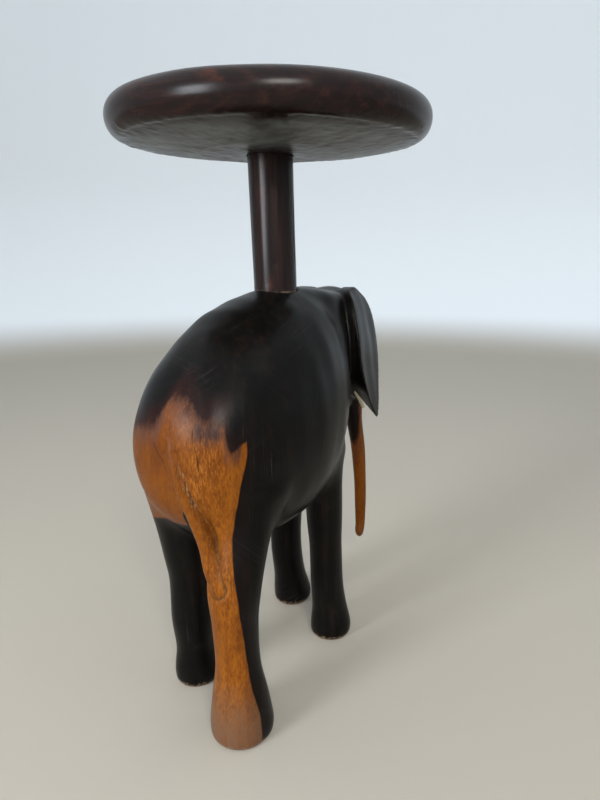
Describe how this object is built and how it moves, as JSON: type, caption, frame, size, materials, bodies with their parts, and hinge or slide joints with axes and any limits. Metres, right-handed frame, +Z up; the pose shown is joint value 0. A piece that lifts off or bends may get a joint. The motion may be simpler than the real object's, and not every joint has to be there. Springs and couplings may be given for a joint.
{
  "type": "carved elephant pedestal table",
  "caption": "Standing elephant carved from one log, with a round post on its back carrying a thick round top, as a small side table or plant stand.",
  "frame": {"origin": "middle of the object's footprint box, in the plane of the soles", "axes": "+X the way the elephant walks, +Y to its left, +Z up"},
  "size_m": [0.3895, 0.31, 0.5876],
  "materials": {
    "two_tone_hardwood": "satin",
    "dark_rosewood": "gloss",
    "pale_bone": "satin"
  },
  "bodies": {
    "root": {"elephant_body": "two_tone_hardwood", "post": "dark_rosewood", "table_top": "dark_rosewood", "tusk_right": "pale_bone", "tusk_left": "pale_bone"}
  },
  "joints": []
}
